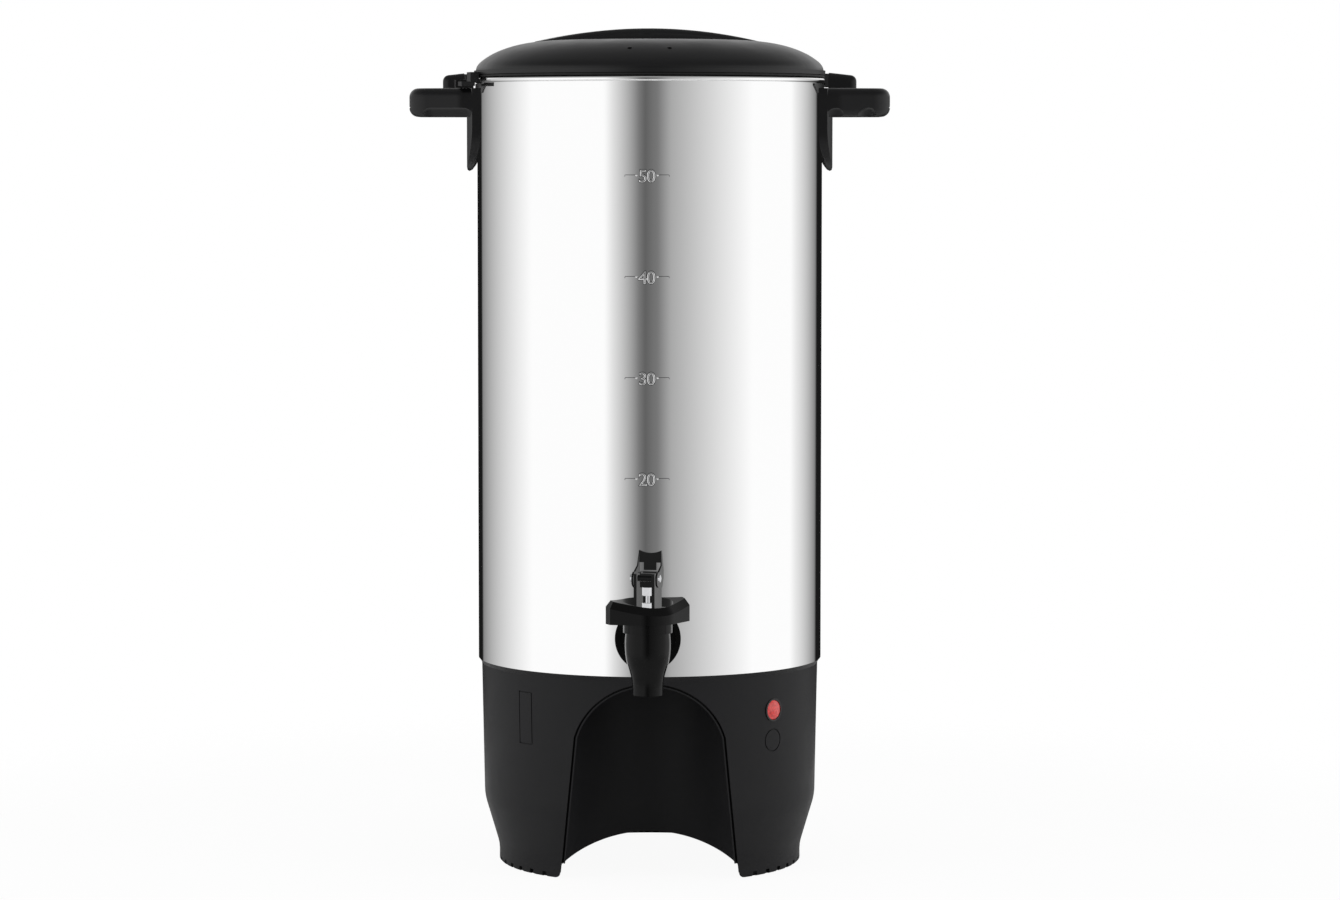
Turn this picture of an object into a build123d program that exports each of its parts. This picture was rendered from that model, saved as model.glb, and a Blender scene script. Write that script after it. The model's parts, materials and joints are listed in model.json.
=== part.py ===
from build123d import *
import os
from math import cos, radians, sin

# Coffee urn. Millimetres. Origin on the drum's vertical axis at floor level; +Z up, the tap faces -Y.

# ---- driving dimensions ----
# Drum
DRUM_R = 94.5
DRUM_WALL = 0.6
DRUM_BOTTOM = 112.7
RIM_TOP = 431.0
BEAD_R = 1.5
FLOOR_TOP = 117.0
FLOOR_T = 0.8
WELL_R = 24.0
WELL_BOTTOM = 107.2

# Heating, under the drum's floor
HEATER_RING_R = 17.0
HEATER_TUBE_R = 3.3
HEATER_GAP_DEG = 60.0
HEATER_Z = WELL_BOTTOM - HEATER_TUBE_R
STRAP_Z = 95.6

# Base
SKIRT_TOP_R = 92.7
SKIRT_KNEE_R = 91.3
SKIRT_FOOT_R = 83.2
SKIRT_KNEE_Z = 36.0
SKIRT_ANKLE_Z = 8.8
SKIRT_FLARE_Z = 110.0
KNEE_FILLET = 30.0
ANKLE_FILLET = 20.0
SKIRT_WALL = 2.6
SKIRT_BOTTOM = 0.0
SKIRT_EDGE = 0.8
DECK_BOTTOM = 109.0
DECK_T = 2.2
DECK_HOLE_R = 62.0
ARCH_FOOT = 48.2
ARCH_KINK = 40.6
ARCH_KINK_Z = 78.6
ARCH_TOP_Z = 108.8
ARCH_GAP = 1.1
ARCH_CORNER_R = 3.2
BAY_R = 49.0
BAY_CENTRE_Y = -80.0
BAY_WALL = 1.4
BAY_EDGE_WALL = 0.7
BAY_LIP_R = 98.0
BAY_LIP_Z = 19.6
VENT_PITCH = 7.2
VENT_FIRST = 6
VENT_W = 3.0
VENT_H = 2.6
VENT_LIP = 1.0
VENT_LIP_DEPTH = 1.6
COVER_Z = 26.0
COVER_T = 2.5
BOSS_R = 80.0
BOSS_ANGLES = (62, 118, -62, -118)
STUD_ANGLES = (80, 180, -80)
STUD_PITCH_R = 72.0
FOOT_R = 75.0
FOOT_ANGLES = (50, 140, -50, -140)

# Indicator lamp and the two moulded blanks
LAMP_ANGLE = 46.2
LAMP_Z = 91.0
LENS_R = 5.2
LENS_RISE = 1.2
BEZEL_FRONT = 92.8
BLANK_Z = 74.6
BLANK_R = 6.2
SWITCH_BLANK_ANGLE = -46.5
SWITCH_BLANK_Z = 86.7
SWITCH_BLANK_W = 10.3
SWITCH_BLANK_H = 28.6
LINE_W = 0.6
LINE_DEPTH = 0.6
CORD_HOLE_Z = 52.0
CORD_BORE_R = 3.6
BLOCK_Y = (58.0, 72.0)
BLOCK_TOP = COVER_Z + COVER_T + 14
TERMINALS = (-12.0, 0.0, 12.0)

# Tap
TAP_X = -1.0
TAP_Y = -122.0
TAP_Z = 133.5
DRUM_FACE = -TAP_Y - DRUM_R  # how far behind the tap's upright axis the drum's wall stands
TAP_TWIST = -15.0
SPOUT_TIP_Z = 107.0
SPOUT_R = 8.1
BARREL_R = 12.0
THREAD_R = 11.6
RING_R = 12.9
RING_BOTTOM = 139.9
RING_TOP = 144.9
BARREL_TOP = 148.9
RING_NOTCHES = (-50, 46)
SPOUT_BORE_R = 6.0
CHAMBER_R = 8.6
SHANK_BORE_R = 5.5
SHANK_INSIDE = 18.0
FLANGE_T = 2.2
PLUG_BOTTOM = 143.0
SPRING_TOP = 144.8
SEAT_Z = 124.2
COLLAR_TWIST = 24.0
COLLAR_BOTTOM = 145.1
COLLAR_RIM_Z = 155.5
COLLAR_R = 15.8
COLLAR_OPENING_R = 13.4
COLLAR_DISH_R = 118.0
COLLAR_DISH_TILT = 6.5
COLLAR_BEVEL_OUT = 2.3
COLLAR_BEVEL_DOWN = 3.8
WING_TIP = 22.8
WING_TIP_HALF = 2.8
CAP_R = 12.3
CAP_TOP = 151.0
EAR_TOP = 171.3
EAR_OUT = 5.65
EAR_IN = 4.05
PIVOT_BOSS_R = 1.75
GLAND_BOTTOM = 152.2
GLAND_TOP = 155.4
SHANK_R = 9.5
ESCUTCHEON_R = 17.5
SHOULDER_FRONT = 24.0  # behind the swept circle of the collar's wings
NECK_R = 7.6
SHOULDER_R = 11.0
LEVER_PIVOT_Y = -4.5
LEVER_PIVOT_Z = 168.8
YOKE_PIN_Z = 168.3
YOKE_PIN_R = 0.9
PIN_R = 1.0
PIN_HEAD_R = 1.9
CHEEK_IN = 5.95
CHEEK_OUT = 6.95
LEVER_FACE_Y = 4.6
LEVER_BACK_Y = 6.2
LEVER_TOP = 182.6
WEB_BOTTOM = 172.2
SLOT_TOP = 176.2
FISHTAIL_DIP = 1.4
FISHTAIL_R = 13.5
STEM_R = 1.1
STEM_FOOT = 128.0
STEM_HEAD = 166.3
NUT_BOTTOM = 159.3
NUT_TOP = 163.6

# Handles
GRIP_REACH = 131.0
GRIP_TIP_HALF_W = 21.5
GRIP_BOTTOM = 409.7
GRIP_TOP = 425.2
GRIP_EDGE = 4.8
HOLLOW_R = 7.0
LEG_IN_R = 95.6
LEG_OUT_R = 100.2
LEG_HALF_W = 28.0
LEG_SPRING_Z = 405.0
LEG_BOTTOM = 380.2
LOCK_IN = 96.0
LOCK_OUT = 112.7
LOCK_TOP = 433.6
LOCK_HALF_W = 16.0
LOCK_WALL = 3.0
LOCK_POST_R = 3.5
SLOT_OUT_R = 107.6
SLOT_ROOF_Z = 430.2
HANDLE_SCREW_ANGLE = 7.3
HANDLE_SCREW_Z = 417.0

# Lid
LID_R = 96.2
LID_FLANGE_Z = 432.6
LID_BAND_TOP = 434.9
LID_WALL = 2.2
LID_CROWN = ((95.2, 434.9), (94.6, 437.2), (91.9, 440.2), (82.6, 445.6), (70.5, 449.3), (58.0, 451.0))
DISH = ((58.0, 451.0), (54.5, 451.0), (47.0, 436.4), (0.0, 436.0))
DISH_UNDER = ((57.0, 448.7), (49.8, 434.0), (0.0, 433.8))
LUG_ANGLE = 14.0
LUG_HALF_W = 5.0
LUG_R = 101.3
LUG_TAB_R = 106.2
LUG_TOP = 433.8
LUG_TAB_TOP = 428.6
LUG_TAB_BOTTOM = 426.3
LID_RING_IN = 87.8
STEAM_HOLE_X = 10.5
STEAM_HOLE_Y = -82.0
LID_SCREW_X = 43.0
SEAL_IN = 90.3
LIFT_GRIP_HALF = 63.0
LIFT_GRIP_TOP = 458.0
LIFT_GRIP_END = 450.7
LIFT_GRIP_ROOT = 434.0

# Percolator
TUBE_R = 4.5
TUBE_TOP = 426.0
BASKET_R = 66.0
BASKET_Z = 377.0
BASKET_H = 39.0
BASKET_HOLES = ((12, 16), (20, 28), (28, 40), (36, 52))  # how many holes on each ring, and its radius

FAR = 300.0


# ---- shared shapes ----
def ring(outer, inner, low, high):
    """Upright tube between two heights."""
    height = high - low
    middle = Pos(0, 0, (low + high) / 2)
    return middle * (Cylinder(outer, height) - Cylinder(inner, height + 1))


def disc(radius, low, high):
    return Pos(0, 0, (low + high) / 2) * Cylinder(radius, high - low)


def block(x, y, z):
    """Box from three (low, high) pairs."""
    sizes = [high - low for low, high in (x, y, z)]
    centre = [(high + low) / 2 for low, high in (x, y, z)]
    return Pos(*centre) * Box(*sizes)


def turned(*points):
    """Solid of revolution about Z from a closed (r, z) outline."""
    return revolve(make_face(Plane.XZ * Polyline(*points, close=True)), Axis.Z)


def facing_front(radius, near, far):
    """Round bar along Y, from the distance near to the distance far in front of the Z axis."""
    return Pos(0, -(near + far) / 2, 0) * Rot(90, 0, 0) * Cylinder(radius, far - near)


def at_angle(shape, angle):
    """Turn a shape built at the front to an azimuth; positive goes to the right."""
    return Rot(0, 0, angle) * shape


def at_tap(shape, twist=0.0):
    return Pos(TAP_X, TAP_Y, 0) * Rot(0, 0, twist) * shape


def wire(points, radius, thickness):
    path = FilletPolyline(*points, radius=radius)
    start = Plane(origin=path @ 0, z_dir=path % 0)
    return sweep(start * Circle(thickness), path=path)


def group(solids):
    return Compound(children=list(solids))


# ---- drum ----
def vessel_drum():
    wall = ring(DRUM_R, DRUM_R - DRUM_WALL, DRUM_BOTTOM, RIM_TOP - BEAD_R)
    bead = Pos(0, 0, RIM_TOP - BEAD_R) * Torus(DRUM_R, BEAD_R)
    drum = wall + bead
    drum -= Pos(TAP_X, 0, TAP_Z) * facing_front(SHANK_R + 0.2, DRUM_R - 5, DRUM_R + 3)
    for angle in handle_screw_angles():
        drum -= at_angle(Pos(0, 0, HANDLE_SCREW_Z) * facing_front(2.2, DRUM_R - 3, DRUM_R + 2), angle)
    return drum


def vessel_floor():
    inside = DRUM_R - DRUM_WALL
    under = FLOOR_TOP - FLOOR_T
    skirt = 2.2
    return turned(
        (WELL_R + 0.05, under),
        (inside - FLOOR_T, under),
        (inside - FLOOR_T, under - skirt),
        (inside, under - skirt),
        (inside, FLOOR_TOP),
        (WELL_R + 0.05, FLOOR_TOP),
    )


def heating_well():
    lip = FLOOR_TOP + FLOOR_T
    inner = WELL_R - FLOOR_T
    return turned(
        (0, WELL_BOTTOM),
        (WELL_R, WELL_BOTTOM),
        (WELL_R, FLOOR_TOP),
        (WELL_R + 3, FLOOR_TOP),
        (WELL_R + 3, lip),
        (inner, lip),
        (inner, WELL_BOTTOM + FLOOR_T),
        (0, WELL_BOTTOM + FLOOR_T),
    )


# ---- heating ----
def heater_ends():
    half = radians(HEATER_GAP_DEG / 2)
    x = HEATER_RING_R * sin(half)
    y = HEATER_RING_R * cos(half)
    return ((-x, y), (x, y))


def main_heater():
    """Sheathed ring under the well with two cold ends turned down to spade pins."""
    sector = Torus(HEATER_RING_R, HEATER_TUBE_R)
    half = radians(HEATER_GAP_DEG / 2)
    reach = 2 * HEATER_RING_R
    wedge = make_face(Polyline((0, 0), (reach * sin(half), reach * cos(half)),
                               (-reach * sin(half), reach * cos(half)), close=True))
    gap = Pos(0, 0, -10) * extrude(wedge, 20)
    heater = Pos(0, 0, HEATER_Z) * (sector - gap)
    for x, y in heater_ends():
        heater += Pos(x, y, HEATER_Z) * Sphere(HEATER_TUBE_R)
        heater += Pos(x, y, HEATER_Z - 5) * Cylinder(HEATER_TUBE_R, 10)
        heater += Pos(x, y, HEATER_Z - 14) * Cylinder(1.2, 8)
    return heater


def heater_bracket():
    half = 36.0
    under = FLOOR_TOP - FLOOR_T
    bar = block((-half, half), (-6, 6), (STRAP_Z, STRAP_Z + 1.2))
    for side in (-1, 1):
        leg = sorted((side * half, side * (half - 1.2)))
        foot = sorted((side * half, side * (half + 8)))
        bar += block(leg, (-6, 6), (STRAP_Z, under))
        bar += block(foot, (-6, 6), (under - 1.2, under))
    return bar


def thermostat():
    body = disc(8.0, STRAP_Z + 1.2, STRAP_Z + 7)
    body += disc(6.5, STRAP_Z + 7, WELL_BOTTOM)
    for side in (-1, 1):
        tab = sorted((side * 7, side * 12.5))
        body += block(tab, (6.5, 9.5), (STRAP_Z + 3, STRAP_Z + 3.8))
        body += block(sorted((side * 3, side * 8)), (5, 9.5), (STRAP_Z + 3, STRAP_Z + 3.8))
    return body


def thermal_fuse():
    body = Pos(24, 0, STRAP_Z - 2.1) * Rot(0, 90, 0) * Cylinder(2.0, 12)
    return body + Pos(24, 0, STRAP_Z - 2.1) * Rot(0, 90, 0) * Cylinder(0.5, 20)


def keep_warm_heater():
    under = FLOOR_TOP - FLOOR_T
    pad = block((-20, 20), (36, 52), (under - 3, under))
    for side in (-1, 1):
        pad += block(sorted((side * 14, side * 17)), (51, 56), (under - 2, under - 1.2))
    return pad


# ---- base ----
def skirt_envelope(inset=0.0):
    """Solid filling the skirt's outer surface, drawn in by inset."""
    envelope = turned(
        (0, SKIRT_BOTTOM),
        (SKIRT_FOOT_R - SKIRT_EDGE - inset, SKIRT_BOTTOM),
        (SKIRT_FOOT_R - inset, SKIRT_BOTTOM + SKIRT_EDGE),
        (SKIRT_FOOT_R - inset, SKIRT_ANKLE_Z),
        (SKIRT_KNEE_R - inset, SKIRT_KNEE_Z),
        (SKIRT_TOP_R - inset, SKIRT_FLARE_Z),
        (DRUM_R - 0.3 - inset, DRUM_BOTTOM - 0.1),
        (0, DRUM_BOTTOM - 0.1),
    )
    for height, radius in ((SKIRT_KNEE_Z, KNEE_FILLET), (SKIRT_ANKLE_Z, ANKLE_FILLET)):
        bends = envelope.edges().filter_by_position(Axis.Z, height - 0.1, height + 0.1)
        envelope = fillet(bends, radius)
    return envelope


def arch(inset, depth_from, depth_to):
    """Prism of the front arch, drawn in by inset, between two distances in front of the axis."""
    crown = ThreePointArc((ARCH_KINK, ARCH_KINK_Z), (0, ARCH_TOP_Z), (-ARCH_KINK, ARCH_KINK_Z))
    legs = Polyline((-ARCH_KINK, ARCH_KINK_Z), (-ARCH_FOOT - 0.5, -5), (ARCH_FOOT + 0.5, -5),
                    (ARCH_KINK, ARCH_KINK_Z))
    face = make_face([crown, legs])
    if inset:
        face = offset(face, -inset, kind=Kind.INTERSECTION)
    return extrude(Plane.XZ.offset(depth_from) * face, depth_to - depth_from)


def leg_corners():
    """What is taken off each leg's inner bottom corner to round it."""
    r = ARCH_CORNER_R
    corner = block((ARCH_FOOT - 0.4, ARCH_FOOT + r), (-95, -55), (-1, r))
    corner -= Pos(ARCH_FOOT + r, -75, r) * Rot(90, 0, 0) * Cylinder(r, 50)
    return group([corner, mirror(corner, Plane.YZ)])


def cover_boss(angle):
    post = Pos(0, -BOSS_R, 0) * disc(4.0, COVER_Z + COVER_T + 0.1, 60)
    rib = block((-1.3, 1.3), (-89.5, -BOSS_R), (42, 60))
    return at_angle(post + rib, angle)


def foot_ledge(angle):
    pad = block((-8, 8), (-SKIRT_FOOT_R + 1.5, -FOOT_R + 7.5), (4.0, 7.0))
    return at_angle(pad, angle)


def base_skirt():
    lip_r = DRUM_R - DRUM_WALL - FLOOR_T - 0.4
    lip_top = FLOOR_TOP - FLOOR_T - 0.1
    wall = SKIRT_WALL
    cavity = turned(
        (0, SKIRT_BOTTOM - 1),
        (SKIRT_FOOT_R - wall, SKIRT_BOTTOM - 1),
        (SKIRT_FOOT_R - wall, SKIRT_ANKLE_Z + 0.8),
        (SKIRT_KNEE_R - wall, SKIRT_KNEE_Z + 0.5),
        (SKIRT_TOP_R - wall, DECK_BOTTOM),
        (0, DECK_BOTTOM),
    )
    skirt = skirt_envelope() - cavity
    skirt -= disc(lip_r - 2.4, DECK_BOTTOM + DECK_T, DRUM_BOTTOM + 1)
    skirt -= disc(DECK_HOLE_R, DECK_BOTTOM - 1, DRUM_BOTTOM + 1)
    skirt += ring(lip_r, lip_r - 2.4, DECK_BOTTOM, lip_top)
    for angle in BOSS_ANGLES:
        skirt += cover_boss(angle)
        skirt -= at_angle(Pos(0, -BOSS_R, 0) * disc(1.4, COVER_Z, 44), angle)
    for angle in FOOT_ANGLES:
        skirt += foot_ledge(angle)
        skirt -= at_angle(Pos(0, -FOOT_R, 0) * disc(2.2, 3, 8), angle)
    for angle in STUD_ANGLES:
        skirt -= at_angle(Pos(0, -STUD_PITCH_R, 0) * disc(2.3, DECK_BOTTOM - 1, DECK_BOTTOM + 5), angle)
    skirt -= arch(0, 40, 120)
    skirt -= leg_corners()
    skirt -= at_angle(Pos(0, 0, LAMP_Z) * facing_front(LENS_R + 0.7, 85, 96), LAMP_ANGLE)
    skirt -= at_angle(Pos(0, 0, CORD_HOLE_Z) * facing_front(6.0, 85, 96), 180)
    skirt -= vents()
    skirt -= blank_lines()
    return skirt


def vents():
    """Small notches round the bottom edge, left out across the arch.

    Each is open through the wall above a low inner lip, so the edge that stands on the table is unbroken.
    """
    count = round(360 / VENT_PITCH)
    half = VENT_W / 2
    front = -SKIRT_FOOT_R - 1
    outer = block((-half, half), (front, -SKIRT_FOOT_R + VENT_LIP_DEPTH), (SKIRT_BOTTOM - 1, VENT_H))
    through = block((-half, half), (front, -SKIRT_FOOT_R + 2 * SKIRT_WALL), (VENT_LIP, VENT_H))
    notch = outer + through
    return group(at_angle(notch, step * VENT_PITCH) for step in range(VENT_FIRST, count - VENT_FIRST + 1))


def blank_lines():
    """Shallow outlines of the two blanks, cut only into the skin."""
    skin = skirt_envelope(-1.0) - skirt_envelope(LINE_DEPTH)
    round_line = facing_front(BLANK_R, 85, 97) - facing_front(BLANK_R - LINE_W, 84, 98)
    half_w = SWITCH_BLANK_W / 2
    half_h = SWITCH_BLANK_H / 2
    square_line = block((-half_w, half_w), (-97, -85), (-half_h, half_h))
    square_line -= block((LINE_W - half_w, half_w - LINE_W), (-98, -84), (LINE_W - half_h, half_h - LINE_W))
    round_blank = at_angle(Pos(0, 0, BLANK_Z) * round_line, LAMP_ANGLE) & skin
    square_blank = at_angle(Pos(0, 0, SWITCH_BLANK_Z) * square_line, SWITCH_BLANK_ANGLE) & skin
    return round_blank + square_blank


def bay_region(grow):
    """Everything in front of the bay's concave back wall."""
    back = Pos(0, BAY_CENTRE_Y, 55) * Cylinder(BAY_R + grow, 130)
    mouth = block((-BAY_R - grow, BAY_R + grow), (-130, BAY_CENTRE_Y), (-10, 120))
    return back + mouth


def bay_liner():
    outer = arch(ARCH_GAP, 10, 120) & bay_region(BAY_WALL)
    tunnel = outer & skirt_envelope(0.5)
    flange_ring = skirt_inner(0.3) - skirt_inner(1.8)
    flange = flange_ring & arch(-4.0, 30, 120)
    liner = tunnel + flange
    liner -= arch(ARCH_GAP + BAY_EDGE_WALL, 5, 125) & bay_region(0)
    below = Pos(0, 0, BAY_LIP_Z - BAY_LIP_R) * Rot(90, 0, 0) * Cylinder(BAY_LIP_R, 2 * FAR)
    return liner - below


def skirt_inner(inset):
    wall = SKIRT_WALL + inset
    return turned(
        (0, 5),
        (SKIRT_FOOT_R - wall, 5),
        (SKIRT_FOOT_R - wall, SKIRT_ANKLE_Z + 0.8),
        (SKIRT_KNEE_R - wall, SKIRT_KNEE_Z + 0.5),
        (SKIRT_TOP_R - wall, DECK_BOTTOM - 0.3),
        (0, DECK_BOTTOM - 0.3),
    )


def bottom_cover():
    cover = disc(84.6, COVER_Z, COVER_Z + COVER_T)
    cover -= arch(-4.6, 5, 120) & bay_region(BAY_WALL + 0.4)
    cover -= block((-55, 55), (-100, -62), (COVER_Z - 1, COVER_Z + COVER_T + 1))
    for angle in BOSS_ANGLES:
        cover -= at_angle(Pos(0, -BOSS_R, 0) * disc(1.9, COVER_Z - 1, COVER_Z + COVER_T + 1), angle)
    for step in range(-3, 4):
        slot = block((step * 9 - 1.5, step * 9 + 1.5), (0, 34), (COVER_Z - 1, COVER_Z + COVER_T + 1))
        cover -= slot
    return cover


def base_screws():
    head = Pos(0, -BOSS_R, 0) * (disc(3.2, COVER_Z - 2.2, COVER_Z) + disc(1.35, COVER_Z - 0.5, 42))
    recess = Pos(0, -BOSS_R, COVER_Z - 2.2) * Box(3.2, 0.8, 1.6)
    recess += Pos(0, -BOSS_R, COVER_Z - 2.2) * Box(0.8, 3.2, 1.6)
    return group(at_angle(head - recess, angle) for angle in BOSS_ANGLES)


def rubber_feet():
    pad = Pos(0, -FOOT_R, 0) * (disc(5.5, 0, 3.9) + disc(2.0, 3.5, 8.0) + disc(2.8, 7.1, 8.6))
    pad -= Pos(0, -FOOT_R, 0) * disc(2.5, -0.5, 0.8)
    return group(at_angle(pad, angle) for angle in FOOT_ANGLES)


def floor_studs():
    stud = Pos(0, -STUD_PITCH_R, 0) * disc(2.0, 99, FLOOR_TOP - FLOOR_T)
    return group(at_angle(stud, angle) for angle in STUD_ANGLES)


def hexagon(across_flats, low, high):
    return Pos(0, 0, low) * extrude(RegularPolygon(across_flats / 2, 6, major_radius=False), high - low)


def stud_nuts():
    nut = hexagon(7.0, DECK_BOTTOM - 3.2, DECK_BOTTOM) - disc(2.05, DECK_BOTTOM - 5, DECK_BOTTOM + 1)
    return group(at_angle(Pos(0, -STUD_PITCH_R, 0) * nut, angle) for angle in STUD_ANGLES)


# ---- lamp, cord entry and wiring ----
def lamp_bezel():
    """Black collar round the lens; its flange sits on the skirt, its barrel passes through."""
    at_lamp = Pos(0, 0, LAMP_Z)
    flange = at_lamp * facing_front(BLANK_R, BEZEL_FRONT - 4, BEZEL_FRONT) - skirt_envelope()
    barrel = at_lamp * facing_front(LENS_R + 0.6, 76, BEZEL_FRONT)
    bezel = flange + barrel
    bezel -= at_lamp * facing_front(LENS_R + 0.1, 78, BEZEL_FRONT + 5)
    return at_angle(bezel, LAMP_ANGLE)


def lamp_lens():
    face = BEZEL_FRONT - 0.3
    dome_r = (LENS_R ** 2 + LENS_RISE ** 2) / (2 * LENS_RISE)
    dome = Pos(0, dome_r - LENS_RISE - face, 0) * Sphere(dome_r)
    dome &= facing_front(LENS_R, face - 0.1, face + 2 * LENS_RISE)
    lens = facing_front(LENS_R, face - 7, face) + dome
    lens -= facing_front(LENS_R - 1, face - 8, face - 0.8)
    return at_angle(Pos(0, 0, LAMP_Z) * lens, LAMP_ANGLE)


def lamp_bulb():
    bulb = facing_front(2.2, 79, 88) + Pos(0, -88, 0) * Sphere(2.2)
    return at_angle(Pos(0, 0, LAMP_Z) * bulb, LAMP_ANGLE)


def cord_bush():
    """Nylon bush in the back of the skirt, flanged outside and clipped inside."""
    at_hole = Pos(0, 0, CORD_HOLE_Z)
    outside = at_hole * facing_front(8.5, 88, 93.6) - skirt_envelope()
    inside = (at_hole * facing_front(8.0, 85.5, 92)) & skirt_inner(0.05)
    sleeve = at_hole * facing_front(5.9, 85.5, 93.6)
    bush = outside + inside + sleeve - at_hole * facing_front(CORD_BORE_R, 80, 100)
    return at_angle(bush, 180)


def terminal_block():
    body = block((-18, 18), BLOCK_Y, (COVER_Z + COVER_T, BLOCK_TOP))
    middle = sum(BLOCK_Y) / 2
    for x in TERMINALS:
        body -= Pos(x, middle, 0) * disc(2.6, BLOCK_TOP - 6, BLOCK_TOP + 1)
    return body


def terminal_screws():
    middle = sum(BLOCK_Y) / 2
    screw = disc(2.5, BLOCK_TOP - 6, BLOCK_TOP - 2) - Pos(0, 0, BLOCK_TOP - 2) * Box(4, 0.8, 1.6)
    return group(Pos(x, middle, 0) * screw for x in TERMINALS)


def heater_leads():
    """Two insulated leads from the block's front face up to the heater's pins."""
    pin_end = HEATER_Z - 18
    leads = []
    for x, y in heater_ends():
        side = 1 if x > 0 else -1
        start = (side * 12.0, BLOCK_Y[0], BLOCK_TOP - 4)
        bend = (side * 12.0, BLOCK_Y[0] - 20, BLOCK_TOP - 4)
        rise = (x, y, BLOCK_TOP + 14)
        leads.append(wire((start, bend, rise, (x, y, pin_end)), 8.0, 1.4))
    return group(leads)


def lamp_leads():
    """Two thin leads from the block's right-hand end to the back of the lamp."""
    turn = radians(LAMP_ANGLE)
    back = 75.9
    leads = []
    for shift in (-1.6, 1.6):
        lamp_end = (back * sin(turn), -back * cos(turn), LAMP_Z + shift)
        inward = ((back - 8) * sin(turn), -(back - 8) * cos(turn), LAMP_Z + shift)
        corner = (60, -8, 70 + shift)
        start = (18, sum(BLOCK_Y) / 2 + 2 * shift, BLOCK_TOP - 7)
        out = (34, sum(BLOCK_Y) / 2 + 2 * shift, BLOCK_TOP - 7)
        leads.append(wire((start, out, corner, inward, lamp_end), 5.0, 0.8))
    return group(leads)


# ---- handles ----
def handle_screw_angles():
    return [side * 90 + shift for side in (-1, 1) for shift in (-HANDLE_SCREW_ANGLE, HANDLE_SCREW_ANGLE)]


def grip_slab():
    """The hand grip seen from above, rounded on its edges and hollowed along both long undersides."""
    root, shoulder, tip = 80, 103, GRIP_REACH
    outline = FilletPolyline((root, -LEG_HALF_W), (shoulder, -LEG_HALF_W), (tip, -GRIP_TIP_HALF_W),
                             (tip, GRIP_TIP_HALF_W), (shoulder, LEG_HALF_W), (root, LEG_HALF_W), radius=12)
    face = make_face([outline, Line((root, LEG_HALF_W), (root, -LEG_HALF_W))])
    slab = Pos(0, 0, GRIP_BOTTOM) * extrude(face, GRIP_TOP - GRIP_BOTTOM)
    rims = [e for e in slab.edges().filter_by(Plane.XY) if e.center().X > root + 0.5]
    slab = fillet(rims, GRIP_EDGE)
    for side in (-1, 1):
        start = Vector(101, side * (LEG_HALF_W + 2.7), GRIP_BOTTOM - 1.7)
        end = Vector(119, side * (LEG_HALF_W - 1.6), GRIP_BOTTOM - 1.7)
        run = end - start
        slab -= Plane(origin=(start + end) / 2, z_dir=run) * Cylinder(HOLLOW_R, run.length)
        slab -= Pos(*start) * Sphere(HOLLOW_R)
        slab -= Pos(*end) * Sphere(HOLLOW_R)
    return slab


def parting_groove():
    """Fine mould line round the grip's end."""
    z = GRIP_BOTTOM + 5.1
    half = 0.3
    return block((GRIP_REACH - 0.5, GRIP_REACH + 2), (-30, 30), (z - half, z + half))


def leg_shield():
    """U-shaped shield that hugs the drum under the grip and turns away from it at its rounded tip."""
    drop = LEG_SPRING_Z - LEG_BOTTOM
    tongue = Pos(0, LEG_SPRING_Z) * Ellipse(LEG_HALF_W, drop)
    rise = GRIP_TOP - LEG_SPRING_Z
    upper = Pos(0, LEG_SPRING_Z + rise / 2) * Rectangle(2 * LEG_HALF_W, rise)
    prism = extrude(Plane.YZ.offset(60) * (tongue + upper), 60)
    wall = turned(
        (LEG_IN_R, GRIP_TOP),
        (LEG_IN_R, LEG_BOTTOM + 13),
        (LEG_OUT_R - 3.4, LEG_BOTTOM + 3.5),
        (LEG_OUT_R - 2.4, LEG_BOTTOM + 0.7),
        (LEG_OUT_R - 1.3, LEG_BOTTOM),
        (LEG_OUT_R - 0.3, LEG_BOTTOM + 0.7),
        (LEG_OUT_R, LEG_BOTTOM + 2.2),
        (LEG_OUT_R, GRIP_TOP),
    )
    return prism & wall


def lock_housing():
    """Raised pocket on the handle that a lid lug turns into: open at +Y, closed at -Y."""
    root = GRIP_TOP - 2
    brow = (LOCK_OUT - 3.1, LOCK_TOP - 1.2)
    chin = (LOCK_OUT, LOCK_TOP - 4.6)
    side = make_face([
        Polyline((LOCK_IN, root), (LOCK_IN, LOCK_TOP), (LOCK_IN + 3, LOCK_TOP), brow),
        ThreePointArc(brow, (LOCK_OUT - 0.8, LOCK_TOP - 2.3), chin),
        Polyline(chin, (LOCK_OUT, root), (LOCK_IN, root)),
    ])
    shell = extrude(Plane.XZ.offset(-LOCK_HALF_W) * side, 2 * LOCK_HALF_W)
    posts = [e for e in shell.edges().filter_by(Axis.Z) if e.center().X > LOCK_OUT - 0.7]
    shell = fillet(posts, LOCK_POST_R)
    floor = GRIP_TOP
    inside = block((80, 120), (LOCK_WALL - LOCK_HALF_W, LOCK_HALF_W + 5), (floor, LOCK_TOP + 2))
    pocket = ring(SLOT_OUT_R, 90, floor, SLOT_ROOF_Z) & inside
    passage = disc(LUG_R + 0.7, floor, LOCK_TOP + 2) & inside
    shell -= pocket
    shell -= passage
    return shell - disc(LOCK_IN + 2.5, floor, LOCK_TOP + 2)


def right_handle():
    handle = grip_slab() + leg_shield() + lock_housing()
    handle -= disc(LEG_IN_R, LEG_BOTTOM - 5, LOCK_TOP + 5)
    handle -= parting_groove()
    for shift in (-HANDLE_SCREW_ANGLE, HANDLE_SCREW_ANGLE):
        hole = Pos(0, 0, HANDLE_SCREW_Z) * facing_front(3.0, 90, 103.5)
        handle -= at_angle(hole, 90 + shift)
    return handle


def left_handle():
    return Rot(0, 0, 180) * right_handle()


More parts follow.
